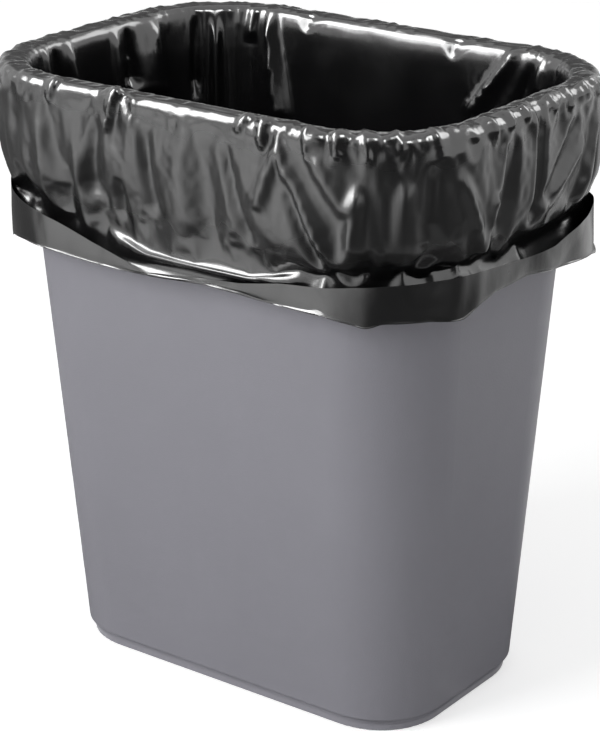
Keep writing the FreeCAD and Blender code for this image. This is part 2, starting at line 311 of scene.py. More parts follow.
swagPlan = {  # where the film is drawn in along the rim, and how far it stands off in between
    "outer": (-222, -190, -160, -128, -87, -36, 8, 64, 100, 118, 138, 161, 181, 206, 223, 246, 277,
              311, 328, 346, 372, 402, 436, 470, 510, 552, 590, 628, 668, 700, 738, 770, 805, 838, 872),
    "outerHeight": 1.0,
    "inner": (430, 450, 476, 498, 542, 580, 616, 656, 690, 708, 726, 755, 790, 820, 850, 880, 910),
    "innerHeight": 0.4,
    "innerEdge": 5,  # how far inside the rim's top they begin
    "upper": (3, 2),  # mm over the rim where they begin, and how much lower that is in their middle
    "lower": (12, 10),  # and where they end
}

gatherPlan = {  # fine gathers in the corners: from, to, pitch (mm round the rim), height
    "corners": ((-222, -102, 5.6, 0.8), (334, 450, 6.6, 0.8), (236, 330, 9.5, 0.7),
                (643, 771, 6.4, 0.6)),
    "tip": 3,  # mm past the rim's top where each begins
    "reach": (8.0, 24.0),  # shortest and longest on each side of it
}

crinklePlan = {  # where the film is crushed along the rim's edge: from, to (mm round the rim), height
    "stretches": ((-240, -120, 1.6), (-40, 60, 0.8), (60, 380, 3.4), (380, 450, 1.2), (640, 854, 0.7)),
    "ramp": 24.0,  # over how many mm a stretch begins and ends
    "middle": 4.0,  # mm over the rim where they are highest
    "reach": 15.0,  # mm from there to where they end
    "crown": 1.3,  # over 1 they keep their full height for a while
    "cell": (11.0, 15.0),  # their size round the rim and over it
    "cellEdge": 0.5,  # how wide the crease between two is at most, in shares of a cell
    "least": 0.02,  # mm, lower ones are left out
}

wrinklePlan = {  # size round the film and down it, height
    "broad": (55, 95, 2.4),
    "middle": (20, 40, 0.3),
    "cells": (46, 62, 1.2),
    "cellEdge": 0.35,  # how wide a crease between two cells is, in shares of a cell
    "seed": 7.0,
}

cuffPlan = {  # where the cuff's section changes: middle and half width (mm round the rim), strength
    "ridge": (20, 96, 1.6),  # the roll above the hem in front
    "tuck": (-62, 95, 1),  # where the cuff turns in higher up
    "full": (-42, 75, 1),  # where it bulges most
    "spread": (375, 70, 1),  # where it spreads lower down
    "drawIn": (-172, 80, 1.8),  # where it draws in lower down
}

creasePlan = {  # the form of folds and puckers
    "finest": 3.0,  # mm, least half width that the mesh can show
    "ends": (0.22, 0.16),  # shares of the length over which a fold's tip and top fade
    "leaning": 0.6,  # how much steeper one side gets
    "sharp": 1.35,  # over 1 for hollow sides and a sharp crest
    "pucker": (0.2, 0.8),  # share of the width at its start, roundness of the crest
    "fold": (0.55, 1.6),
}


def wrap(along, whole):  # the short way round
    return (along + whole / 2) % whole - whole / 2


def outline(share, length, width, corner, stretches):  # spots and the way out, at shares of the way round
    x, y = length / 2 - corner, width / 2 - corner
    total = sum(stretches)
    along = (share * total + stretches[0] / 2) % total
    edges = np.cumsum([0.0] + list(stretches))
    px, py, nx, ny = (np.zeros_like(along) for _ in range(4))
    turns = ((1, -1, -90), (1, 1, 0), (-1, 1, 90), (-1, -1, 180))
    sides = ((0, -1), (1, 0), (0, 1), (-1, 0))
    for number in range(8):
        chosen = (along >= edges[number]) & (along < edges[number + 1] + (number == 7))
        part = (along - edges[number]) / stretches[number]
        if number % 2:
            sx, sy, first = turns[number // 2]
            angle = np.radians(first + 90 * part)
            sideX, sideY = np.cos(angle), np.sin(angle)
            posX, posY = sx * x + corner * sideX, sy * y + corner * sideY
        else:
            sideX, sideY = (np.full_like(along, value) for value in sides[number // 2])
            run = 2 * part - 1
            posX = sideX * (x + corner) - sideY * x * run
            posY = sideY * (y + corner) + sideX * y * run
        px, py = np.where(chosen, posX, px), np.where(chosen, posY, py)
        nx, ny = np.where(chosen, sideX, nx), np.where(chosen, sideY, ny)
    return px, py, nx, ny


def smoothLine(knots, amounts):  # a smooth line through the knots of every column
    count = knots.shape[1]
    place = np.clip(amounts, 0, count - 1 - 1e-6)
    low = place.astype(int)
    part = (place - low)[None, :, None]
    before, after = 2 * knots[:, :1] - knots[:, 1:2], 2 * knots[:, -1:] - knots[:, -2:-1]
    padded = np.concatenate([before, knots, after], axis=1)
    p0, p1, p2, p3 = (padded[:, low + k] for k in range(4))
    return 0.5 * (2 * p1 + (p2 - p0) * part + (2 * p0 - 5 * p1 + 4 * p2 - p3) * part ** 2
                  + (3 * p1 - p0 - 3 * p2 + p3) * part ** 3)


rimLength, rimWidth, rimCorner, rimHeight = linerPlan["rim"]
straightX, straightY = rimLength - 2 * rimCorner, rimWidth - 2 * rimCorner
stretches = [straightX, math.pi / 2 * rimCorner, straightY, math.pi / 2 * rimCorner] * 2
cuffX, cuffY, cuffCorner = linerPlan["cuff"]
filmAround = 4 * (cuffX + cuffY) + 2 * math.pi * cuffCorner  # mm round the cuff


def roundRim(columns):  # mm round the film at each column
    return np.arange(columns) / columns * filmAround


def hemValue(column, along):  # a column of hemPlan at each place round the film
    places = np.array([row[0] for row in hemPlan], float) % filmAround
    values = np.array([row[column] for row in hemPlan], float)
    order = np.argsort(places)
    return np.interp(along, places[order], values[order], period=filmAround)


def hump(along, stretch):  # its strength in the middle of a stretch, 0 past the ends
    middle, halfWidth, strength = cuffPlan[stretch]
    near = np.clip(1 - np.abs(wrap(along - middle, filmAround)) / halfWidth, 0, 1)
    return strength * (near ** 2 * (3 - 2 * near))


def underSkirt(below):  # how far the film may sink in below the rim's skirt
    return 0.045 * below ** 1.5


def sectionKnots():  # the film's section from the bag's floor to the hem: out from the rim's side, height
    along = roundRim(linerPlan["columns"])
    _, _, nx, ny = outline(along / filmAround, rimLength, rimWidth, rimCorner, stretches)
    corner = 2 * np.abs(nx * ny)
    foldZ, freeZ, foldOut, freeOut = (hemValue(column, along) for column in (1, 2, 3, 4))
    inner = -linerPlan["rimWall"]
    one = np.ones(len(along))
    ridge, tuck, full = np.minimum(hump(along, "ridge"), 1), hump(along, "tuck"), hump(along, "full")
    slope = hump(along, "spread") - hump(along, "drawIn")
    rows = [
        # up inside the bag
        (inner - 16 * one, linerPlan["bagFloor"] * one),
        (inner - 5 * one, 50 * one),
        (inner - 4 * one, 150 * one),
        (inner - 4.4 * one, 250 * one),
        (inner - 5.0 * one, 310 * one),
        (inner - 5.4 * one, 350 * one),
        (inner - 5.4 * one, 378 * one),
        (inner - 4.5 * one, 395.6 * one),
        (inner - 0.8 * one, 400.3 * one),
        # over the rim
        (-7.6 * one, 402.2 * one),
        (-3.6 * one, 401.3 * one),
        (-0.6 * one, 398.5 * one),
        # down the cuff
        (1.8 + 0.4 * full, 394.2 * one),
        (3.2 - 1.0 * corner + 2.2 * full, 388.5 * one),
        (3.2 - 1.8 * corner + 2.8 * full + 0.6 * slope, 380 * one),
        (3.2 - 2.6 * corner + 1.6 * full + 1.5 * slope, 366 * one),
        (2.2 - 3.0 * corner - 2.0 * tuck + 2.8 * slope, 350 * one),
        (-0.4 - 2.6 * corner - 4.6 * tuck + 3.2 * slope, 338 * one),
        (-5.0 - 2.6 * corner - 3.4 * tuck + 2.0 * slope, 325 * one),
        # the roll above the hem
        (-8.4 + 1.6 * ridge, 318 - 8.5 * ridge),
        (-7.8 + 5.2 * ridge, 311.5 - 3.9 * ridge),
        (np.minimum(foldOut - 3.6, -5.6), foldZ + 7),
        # the hem, turned up
        (foldOut - 1.5, foldZ + 0.8),
        (foldOut - 0.4, foldZ - 0.2),
        (foldOut + 0.3, foldZ + 1.0),
        (foldOut * 0.6 + freeOut * 0.4 + 0.5, foldZ * 0.6 + freeZ * 0.4),
        (foldOut * 0.2 + freeOut * 0.8 + 0.2, foldZ * 0.2 + freeZ * 0.8),
        (freeOut, freeZ),
    ]
    return np.stack([np.stack(row, axis=1) for row in rows], axis=1)


topKnot, foldKnot = 9.0, 22.0  # the knots on the rim's top and at the hem's fold
overKnot, behindKnot = 7.0, 16.0  # from where the film is over the rim, and where it is behind the hem


def rowAmounts():  # where the rows lie among the knots: so many from each knot to the next
    steps = (2, 3, 3, 3, 6, 8, 4, 3, 2, 2, 2, 2, 2, 2, 4, 5, 4, 4, 3, 2, 2, 1, 1, 1, 2, 2, 1)
    amounts = []
    for number, count in enumerate(steps):
        amounts += [number + part / count for part in range(count)]
    return np.array(amounts + [float(len(steps))])


def foldShape(along, over, fold):  # how far one fold stands off at each point
    s0, t0, s1, t1, half, height, lean, kind = fold
    runS, runT = s1 - s0, t1 - t0
    length = math.hypot(runS, runT)
    ds, dt = wrap(along - s0, filmAround), over - t0
    down = (ds * runS + dt * runT) / length ** 2
    across = (ds * runT - dt * runS) / length
    narrow, crest = creasePlan["pucker"] if kind == "pucker" else creasePlan["fold"]
    lean *= creasePlan["leaning"]
    widthHere = half * (narrow + (1 - narrow) * np.clip(down, 0, 1))
    widthHere = widthHere * np.where(across > 0, 1 + lean, 1 - lean)
    near = np.clip(1 - np.hypot(across, crest) / np.maximum(widthHere, creasePlan["finest"]), 0, 1)
    tipShare, topShare = creasePlan["ends"]
    ends = np.clip(np.minimum(down / tipShare, (1 - down) / topShare), 0, 1)
    ends = ends * ends * (3 - 2 * ends)
    near = near * near * (3 - 2 * near) if kind == "soft" else near ** creasePlan["sharp"]
    return height * near * ends


def gatherShape(along, over):  # no two gathers are alike
    total = np.zeros_like(along)
    tip, (low, high) = gatherPlan["tip"], gatherPlan["reach"]
    for start, end, pitch, height in gatherPlan["corners"]:
        for number in range(int((end - start) / pitch)):
            sway, size, turn = (math.sin(rate * number + start) for rate in (7.3, 5.1, 3.7))
            middle = start + pitch * (number + 0.5 + 0.45 * sway)
            tall = height * (0.6 + 0.4 * size)
            for side in (1, -1):
                reach = side * (low + (high - low) * (0.5 + 0.5 * turn))
                slant = 0.6 * pitch * math.sin(2.9 * number + side)
                half = pitch * (0.5 + 0.15 * turn)
                fold = (middle, -tip * side, middle + slant, reach, half, tall, 0.4 * sway, "pucker")
                total += foldShape(along, over, fold)
    return total


def swags(along, over, tops, height):  # the film stands off a little between two puckers, and sags there
    total = np.zeros_like(along)
    (upper, upperSag), (lower, lowerSag) = swagPlan["upper"], swagPlan["lower"]
    for start, end in zip(tops, tops[1:]):
        part = np.clip(wrap(along - start, filmAround) / (end - start), 0, 1)
        sag = np.sin(math.pi * part) ** 0.7 * (0.75 + 0.25 * math.sin(3.1 * start))
        low, high = upper + upperSag * sag, lower + lowerSag * sag
        down = np.clip((over - low) / (high - low) + 0.5, 0, 1)
        total += height * sag * np.sin(math.pi * down) ** 2
    return total


def hemWaves(along, over, amounts):  # the hem's flap stands off unevenly, in broad and narrow waves
    turn = along * 2 * math.pi / filmAround
    flap = np.clip(amounts - foldKnot - 0.6, 0, 1)[None, :]
    broad = np.sin(16 * turn + 0.07 * over + 1.7 * np.sin(4 * turn)) * (0.6 + 0.4 * np.sin(3 * turn + 1))
    narrow = np.sin(34 * turn - 0.05 * over + 2 * np.sin(5 * turn)) * (0.5 + 0.5 * np.sin(7 * turn))
    return 0.7 * flap * (1.4 + broad + 0.4 * narrow)


def onTube(along, over, wide, long, shift=0.0):  # a spot for noise that joins up all round the film
    radius = filmAround / (2 * math.pi)
    angle = along / radius
    return Vector((radius * math.cos(angle) / wide, radius * math.sin(angle) / wide, over / long + shift))


def wrinkles(along, over):  # broad and small unevenness, and creases between cells of film
    wide, long, height = zip(*(wrinklePlan[size] for size in ("broad", "middle", "cells")))
    seed, edge = wrinklePlan["seed"], wrinklePlan["cellEdge"]
    result = np.empty(along.size)
    for number, (a, t) in enumerate(zip(along.ravel().tolist(), over.ravel().tolist())):
        broad = noise.noise(onTube(a, t, wide[0], long[0], seed))
        middle = noise.noise(onTube(a, t, wide[1], long[1], 2 * seed))
        near, second = noise.voronoi(onTube(a, t, wide[2], long[2], seed))[0][:2]
        crease = edge - min(second - near, edge)
        result[number] = height[0] * broad + height[1] * middle + height[2] * crease
    return result.reshape(along.shape)


def crinkles(along, over):  # flat facets between creases, where the film is crushed along the rim's edge
    tall = np.zeros_like(along)
    ramp = crinklePlan["ramp"]
    for start, end, height in crinklePlan["stretches"]:
        half = (end - start) / 2
        inside = half - np.abs(wrap(along - start - half, filmAround))
        tall = np.maximum(tall, height * np.clip(inside / ramp + 0.5, 0, 1))
    crown = crinklePlan["crown"]
    tall *= np.clip(crown - crown * np.abs(over - crinklePlan["middle"]) / crinklePlan["reach"], 0, 1)
    result = np.zeros_like(along)
    for column, row in zip(*np.nonzero(tall > crinklePlan["least"])):
        spot = onTube(along[column, row], over[column, row], *crinklePlan["cell"])
        near, second = noise.voronoi(spot)[0][:2]
        result[column, row] = min(second - near, crinklePlan["cellEdge"])
    return result * tall


def innerSize(height):  # the wall's inner face at a height: length, width, corner radius
    part = np.clip(height / rimHeight, 0, 1)
    wall, baseWall = linerPlan["rimWall"], linerPlan["baseWall"]
    return [(low - both * baseWall) * (1 - part) + (high - both * wall) * part
            for low, high, both in zip(linerPlan["base"], linerPlan["rim"], (2, 2, 1))]


def edgeDistance(spots, length, width, corner):  # mm outside a rounded outline, and the way out
    x, y = spots[..., 0] / mm, spots[..., 1] / mm
    px, py = np.abs(x) - (length / 2 - corner), np.abs(y) - (width / 2 - corner)
    qx, qy = np.maximum(px, 0), np.maximum(py, 0)
    far = np.hypot(qx, qy)
    out = far + np.minimum(np.maximum(px, py), 0) - corner
    dx = np.where(far > 0, qx / np.maximum(far, 1e-9), (px > py) * 1.0)
    dy = np.where(far > 0, qy / np.maximum(far, 1e-9), (px <= py) * 1.0)
    return out, dx * np.sign(x), dy * np.sign(y)


def keepClear(spots, amounts):  # keeps the film off the basket, and the cuff inside the hem
    out, dx, dy = edgeDistance(spots, rimLength, rimWidth, rimCorner)
    height = spots[..., 2] / mm
    gap, turn, wall = linerPlan["clearance"], linerPlan["rimRound"], linerPlan["rimWall"]
    newOut, newHeight = out.copy(), height.copy()
    isOver = (amounts > overKnot)[None, :] & (height > rimHeight - turn) & (out > -wall - gap)
    flat = isOver & (out <= -turn)
    newHeight = np.where(flat, np.maximum(height, rimHeight + gap), newHeight)
    away = np.hypot(out + turn, height - rimHeight + turn)
    grow = np.maximum((turn + gap) / np.maximum(away, 0.1), 1.0)
    bend = isOver & (out > -turn)
    newOut = np.where(bend, (out + turn) * grow - turn, newOut)
    newHeight = np.where(bend, (height - rimHeight + turn) * grow + rimHeight - turn, newHeight)
    below = rimHeight - linerPlan["rimDepth"] - height
    side = (amounts > topKnot)[None, :] & (height <= rimHeight - turn) & (below < linerPlan["skirtReach"])
    newOut = np.where(side, np.maximum(newOut, gap - underSkirt(np.maximum(below, 0))), newOut)
    # behind the hem, the cuff stays inside it
    along = roundRim(len(spots))
    foldZ, freeZ, foldOut, freeOut = (hemValue(column, along)[:, None] for column in (1, 2, 3, 4))
    share = np.clip((height - foldZ) / (freeZ - foldZ), 0, 1)
    hemOut = foldOut * (1 - share) + freeOut * share
    behind = ((amounts > behindKnot) & (amounts < foldKnot - 0.2))[None, :] & (height < freeZ + 2)
    newOut = np.where(behind, np.minimum(newOut, hemOut - linerPlan["hemGap"]), newOut)
    # inside, the bag stays off the tapered wall
    innerOut, innerX, innerY = edgeDistance(spots, *innerSize(height))
    bag = (amounts < topKnot)[None, :] & (height < rimHeight)
    newOut = np.where(bag, out + np.minimum(-gap - innerOut, 0), newOut)
    dx, dy = np.where(bag, innerX, dx), np.where(bag, innerY, dy)
    shift = (newOut - out) * mm
    return np.stack([spots[..., 0] + dx * shift, spots[..., 1] + dy * shift, newHeight * mm], axis=2)


def place(section, amounts):  # the film's points, from its section
    out, height = section[..., 0], section[..., 1]
    inside = (amounts < topKnot)[None, :]
    wall = linerPlan["rimWall"]
    out = np.where(inside & (height < rimHeight), np.minimum(out, -wall - linerPlan["bagGap"]), out)
    sizes = [np.where(inside, low + both * wall, high)
             for low, high, both in zip(innerSize(height), linerPlan["rim"], (2, 2, 1))]
    share = np.repeat(roundRim(len(section))[:, None], section.shape[1], axis=1) / filmAround
    px, py, nx, ny = outline(share, *sizes, stretches)
    return np.stack([px + nx * out, py + ny * out, height], axis=2) * mm


def gridFaces(columns, rows):
    faces = []
    for c in range(columns):
        here, after = c * rows, (c + 1) % columns * rows
        faces += [(here + r, here + r + 1, after + r + 1, after + r) for r in range(rows - 1)]
    return faces


def meshObject(name, verts, faces):
    mesh = bpy.data.meshes.new(name)
    mesh.from_pydata(verts, [], faces)
    obj = bpy.data.objects.new(name, mesh)
    bpy.context.scene.collection.objects.link(obj)
    return obj


def rimBlock(scale):  # what the film lies on: the wall's inner face, the rim, a slope under its skirt
    wall, turn, depth = linerPlan["rimWall"], linerPlan["rimRound"], linerPlan["rimDepth"]
    profile = [(-wall, rimHeight - 160), (-wall, rimHeight - 80), (-wall, rimHeight - 1),
               (-wall + 1, rimHeight), (-turn, rimHeight)]
    for angle in (30, 60, 90):
        sine, cosine = math.sin(math.radians(angle)), math.cos(math.radians(angle))
        profile.append((-turn + turn * sine, rimHeight - turn + turn * cosine))
    profile += [(-underSkirt(below), rimHeight - depth - below) for below in (0, 12, 24, 36, 50)]
    steps = 60
    verts = []
    for number, (out, height) in enumerate(profile):
        length, width, corner = innerSize(height) if number < 3 else (rimLength, rimWidth, rimCorner)
        shift = 0 if number < 3 else out
        px, py, nx, ny = outline(np.arange(steps) / steps, length, width, corner, stretches)
        verts += [(x * mm * scale, y * mm * scale, height * mm * scale)
                  for x, y in zip(px + nx * shift, py + ny * shift)]
    faces = []
    for ring in range(0, (len(profile) - 1) * steps, steps):
        for k in range(steps):
            after = (k + 1) % steps
            faces.append((ring + k, ring + steps + k, ring + steps + after, ring + after))
    return meshObject("rimBlock", verts, faces)


def drapeFilm(spots, over, amounts):  # hangs the cuff over the rim as cloth
    scale = drapePlan["scale"]
    mean = over.mean(axis=0)
    rows = [r for r in range(spots.shape[1]) if mean[r] > drapePlan["from"] and amounts[r] <= foldKnot]
    strip = spots[:, rows] * scale
    columns, count = len(spots), len(rows)
    film = meshObject("filmStrip", strip.reshape(-1, 3).tolist(), gridFaces(columns, count))
    held = film.vertex_groups.new(name="held")  # two rows inside, and the hem's fold
    held.add([c * count + r for c in range(columns) for r in (0, 1, count - 1)], 1.0, "REPLACE")
    rim = rimBlock(scale)
    rim.modifiers.new("Collision", "COLLISION")
    rim.collision.thickness_outer = drapePlan["rimSkin"] * mm * scale
    rim.collision.cloth_friction = drapePlan["friction"]
    cloth = film.modifiers.new("Cloth", "CLOTH")
    settings = cloth.settings
    settings.vertex_group_mass = "held"
    settings.quality = drapePlan["quality"]
    settings.mass = drapePlan["mass"]
    settings.air_damping = drapePlan["airDamping"]
    settings.tension_stiffness = settings.compression_stiffness = drapePlan["stiffness"]
    settings.shear_stiffness = drapePlan["stiffness"] / 3
    settings.bending_stiffness = drapePlan["bending"]
    stretching, settings.shear_damping, settings.bending_damping = drapePlan["damping"]
    settings.tension_damping = settings.compression_damping = stretching
    settings.shrink_min = -drapePlan["spareFilm"]
    cloth.collision_settings.distance_min = drapePlan["filmSkin"] * mm * scale
    cloth.collision_settings.use_self_collision = False
    cloth.point_cache.frame_end = drapePlan["frames"]
    for number in range(1, drapePlan["frames"] + 1):
        bpy.context.scene.frame_set(number)
    shaped = film.evaluated_get(bpy.context.evaluated_depsgraph_get()).to_mesh()
    hung = np.empty(len(shaped.vertices) * 3)
    shaped.vertices.foreach_get("co", hung)
    bpy.context.scene.frame_set(1)
    for obj in (film, rim):
        bpy.data.objects.remove(obj)
    result = spots.copy()
    result[:, rows] = hung.reshape(columns, count, 3) / scale
    return result


def twice(values):  # twice as many columns and rows
    before, after = np.roll(values, 1, axis=0), np.roll(values, -1, axis=0)
    between = (9 * (values + after) - before - np.roll(values, -2, axis=0)) / 16
    wide = np.empty((2 * values.shape[0],) + values.shape[1:])
    wide[0::2], wide[1::2] = values, between
    edge = np.concatenate([2 * wide[:, :1] - wide[:, 1:2], wide, 2 * wide[:, -1:] - wide[:, -2:-1]], axis=1)
    between = (9 * (wide[:, :-1] + wide[:, 1:]) - edge[:, :-3] - edge[:, 3:]) / 16
    tall = np.empty((wide.shape[0], 2 * wide.shape[1] - 1) + wide.shape[2:])
    tall[:, 0::2], tall[:, 1::2] = wide, between
    return tall


def gridNormals(spots):
    onward = np.roll(spots, -1, axis=0) - np.roll(spots, 1, axis=0)
    down = np.gradient(spots, axis=1)
    normal = np.cross(down, onward)  # away from the basket, and towards the middle inside the bag
    return normal / np.maximum(np.linalg.norm(normal, axis=2, keepdims=True), 1e-12)


def linerSheet():
    amounts = rowAmounts()
    section = smoothLine(sectionKnots(), amounts)  # columns x rows x (out, height)
    rows = section.shape[1]
    step = np.hypot(*np.moveaxis(np.diff(section, axis=1), 2, 0))
    path = np.concatenate([np.zeros((len(section), 1)), np.cumsum(step, axis=1)], axis=1)
    topRow = int(np.argmin(np.abs(amounts - topKnot)))
    over = path - path[:, topRow:topRow + 1]
    along = np.repeat(roundRim(len(section))[:, None], rows, axis=1)
    inside = over < linerPlan["calmFrom"]
    relief = wrinkles(along, over) * np.where(inside, linerPlan["calmInside"], 1.0)
    for fold in foldPlan:
        relief += foldShape(along, over, fold)
    # full depth on the free film, less where it lies on the rim or turns up at the hem
    knots = (0, 0.6, 2, 6, 7, 8, 9, 11, 12, 13, 17, 19, 21, 22, 24, 27)
    shares = (0.0, 0.3, 1.0, 1.0, 0.8, 0.5, 0.5, 0.7, 0.9, 1.0, 1.0, 0.4, 0.3, 0.4, 0.9, 1.1)
    relief = relief * np.interp(amounts, knots, shares)[None, :]
    tangent = np.gradient(section, axis=1)
    tangent /= np.maximum(np.linalg.norm(tangent, axis=2, keepdims=True), 1e-9)
    sideways = np.stack([-tangent[..., 1], tangent[..., 0]], axis=2)
    spots = keepClear(place(section + sideways * relief[..., None], amounts), amounts)
    spots = drapeFilm(spots, over, amounts)
    # a finer grid, with the puckers, gathers and crinkles on it
    spots, over = twice(spots), twice(over[..., None])[..., 0]
    amounts = np.interp(np.arange(2 * rows - 1) / 2, np.arange(rows), amounts)
    along = np.repeat(roundRim(len(spots))[:, None], 2 * rows - 1, axis=1)
    fine = gatherShape(along, over)
    for pucker in puckerPlan:
        fine += foldShape(along, over, (*pucker, "pucker"))
    fine += swags(along, over, swagPlan["outer"], swagPlan["outerHeight"])
    fine += swags(along, -over - swagPlan["innerEdge"], swagPlan["inner"], swagPlan["innerHeight"])
    fine += hemWaves(along, over, amounts)
    fine += crinkles(along, over)
    spots = spots + gridNormals(spots) * fine[..., None] * mm
    return keepClear(spots, amounts), along, over


filmLook = {
    "colour": (0.0044, 0.0044, 0.0047),
    "ior": 1.6,
    "gloss": 1.0,
    "roughness": (0.19, 0.28),
    "sheenSize": 30.0,  # noise scales per metre
    "stretch": (1.0, 1.0, 0.55),  # draws the texture out in height
    "mattAt": (-28, -12, 12, 28, 66, 84),  # mm over the rim: inside, at its edge, down the cuff, at the hem
    "mattShare": (0.55, 0.9, 0.9, 1.45, 1.45, 1.0),  # share of the roughness there
    "creaseSize": 26.0,
    "creaseHeight": 0.00028,  # metres
}


def buildLiner():
    spots, along, over = linerSheet()
    columns, rows = spots.shape[:2]
    verts = spots.reshape(-1, 3).tolist()
    faces = gridFaces(columns, rows)
    # the bag's floor: one ring half way in, and its middle
    first, middle = len(verts), len(verts) + columns
    for c in range(columns):
        x, y, z = verts[c * rows]
        verts.append((x * 0.5, y * 0.5, z))
    verts.append((0, 0, verts[0][2]))
    for c in range(columns):
        after = (c + 1) % columns
        faces.append((c * rows, after * rows, first + after, first + c))
        faces.append((first + c, first + after, middle))
    piece = meshObject("linerFilm", verts, faces)
    mesh = piece.data
    for face in mesh.polygons:
        face.use_smooth = True
    uv = mesh.uv_layers.new(name="filmMap")
    flat = np.zeros((len(verts), 2))
    flat[:along.size, 0] = along.ravel() * mm
    flat[:along.size, 1] = over.ravel() * mm
    loops = np.empty(len(mesh.loops), int)
    mesh.loops.foreach_get("vertex_index", loops)
    uv.data.foreach_set("uv", flat[loops].ravel())
    matt = mesh.attributes.new("mattShare", "FLOAT", "POINT")
    share = np.full(len(verts), filmLook["mattShare"][0])
    share[:over.size] = np.interp(over.ravel(), filmLook["mattAt"], filmLook["mattShare"])
    matt.data.foreach_set("value", share)
    return piece


def filmMaterial(look):
    material, nodes, links, out = newMaterial("linerFilm")
    shader = nodes.new("ShaderNodeBsdfPrincipled")
    shader.inputs["Base Color"].default_value = (*look["colour"], 1)
    shader.inputs["IOR"].default_value = look["ior"]
    shader.inputs["Specular IOR Level"].default_value = look["gloss"]
    place = nodes.new("ShaderNodeTexCoord")
    stretch = nodes.new("ShaderNodeMapping")
    stretch.inputs["Scale"].default_value = look["stretch"]
    links.new(place.outputs["Object"], stretch.inputs["Vector"])
    vector = stretch.outputs["Vector"]
    matt = nodes.new("ShaderNodeAttribute")
    matt.attribute_name = "mattShare"
    rough = nodes.new("ShaderNodeMath")
    rough.operation = "MULTIPLY"
    sheen = placeTexture(nodes, links, vector, look["sheenSize"], 3.0, *look["roughness"])
    links.new(sheen, rough.inputs[0])
    links.new(matt.outputs["Fac"], rough.inputs[1])
    links.new(rough.outputs[0], shader.inputs["Roughness"])
    bump = nodes.new("ShaderNodeBump")
    bump.inputs["Distance"].default_value = look["creaseHeight"]
    links.new(placeTexture(nodes, links, vector, look["creaseSize"], 4.0, 0.0, 1.0), bump.inputs["Height"])
    links.new(bump.outputs["Normal"], shader.inputs["Normal"])
    links.new(shader.outputs["BSDF"], out.inputs["Surface"])
    return material


liner = buildLiner()
liner.data.materials.append(filmMaterial(filmLook))
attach(liner, "root")
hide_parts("liner")
print("liner built:", len(liner.data.vertices), "vertices,", len(liner.data.loop_triangles), "triangles")


room = {  # metres
    "floorSize": 6.0,
    "floorColour": (0.8, 0.8, 0.8),
    "floorGlow": 0.56,  # keeps the floor white where the camera and reflections see it
    "worldLevel": 0.5,
    "cardRamp": 0.3,  # share of a card over which its sides fade out
    "cardFoot": 0.2,  # share over which its lower or nearer edge does
    "cardHeight": 0.004,  # of the cards over the floor
}

cameraPlan = {
    "lens": 121.4,  # mm, as the sensor
    "sensor": 36.0,
    "place": (0.8934, -1.2037, 0.7699),
    "target": (-0.0103, 0.01782, 0.19125),
}

lamps = [  # name, place, target, size, power, whether gloss alone sees it
    ("keyLight", (-0.9, -2.0, 1.4), (0, 0, 0.25), (1.2, 1.2), 33.0, False),
    ("shineAbove", (-1.12, -1.0, 1.7), (0, 0, 0.39), (1.3, 1.3), 56.0, True),
    ("shineBehind", (0.75, 1.6, 1.45), (0, 0, 0.39), (1.2, 1.0), 15.0, True),
    ("shineCorner", (0.82, -0.5, 1.72), (0, 0, 0.39), (0.55, 0.55), 12.0, True),
]

# Cards that only gloss sees, so that the film shows dark stretches. On the floor: name, first and
# last angle in degrees from the front, inner and outer reach, how dark, ramp.
floorCards = [
    ("cardInFront", -24, 164, 0.12, 3.0, 0.93, 0.3),
    ("cardLeft", -190, -42, 0.12, 3.0, 0.84, 0.1),
    ("cardBelow", -178, 164, 0.55, 0.02, 0.93, 0.1),
]

blackCards = [  # in the air: name, place, target, size, how dark
    ("cardBehindCamera", (1.5, -1.5, 0.9), (0, 0, 0.35), (3.0, 2.4), 0.93),
    ("cardAbove", (1.0, -0.6, 2.05), (0, 0, 0.4), (1.7, 1.7), 0.8),
    ("cardBehind", (-1.25, 1.75, 1.2), (0, 0, 0.4), (2.4, 1.5), 0.75),
]


def seenOrMirrored(nodes, links):  # 1 for rays from the camera and from gloss
    path = nodes.new("ShaderNodeLightPath")
    seen = nodes.new("ShaderNodeMath")
    seen.operation = "MAXIMUM"
    links.new(path.outputs["Is Camera Ray"], seen.inputs[0])
    links.new(path.outputs["Is Glossy Ray"], seen.inputs[1])
    return seen.outputs[0]


def floorMaterial():
    material, nodes, links, out = newMaterial("studioFloor")
    plain = nodes.new("ShaderNodeBsdfDiffuse")
    plain.inputs["Color"].default_value = (*room["floorColour"], 1)
    glow = nodes.new("ShaderNodeEmission")
    glow.inputs["Color"].default_value = (1, 1, 1, 1)
    glow.inputs["Strength"].default_value = room["floorGlow"]
    dark = nodes.new("ShaderNodeEmission")
    dark.inputs["Strength"].default_value = 0.0
    pick = nodes.new("ShaderNodeMixShader")
    links.new(seenOrMirrored(nodes, links), pick.inputs["Fac"])
    links.new(dark.outputs[0], pick.inputs[1])
    links.new(glow.outputs[0], pick.inputs[2])
    both = nodes.new("ShaderNodeAddShader")
    links.new(plain.outputs[0], both.inputs[0])
    links.new(pick.outputs[0], both.inputs[1])
    links.new(both.outputs[0], out.inputs["Surface"])
    return material


def buildFloor():
    half = room["floorSize"] / 2
    corners = [(-half, -half, 0), (half, -half, 0), (half, half, 0), (-half, half, 0)]
    floor = meshObject("studioFloor", corners, [(0, 1, 2, 3)])
    floor.data.materials.append(floorMaterial())


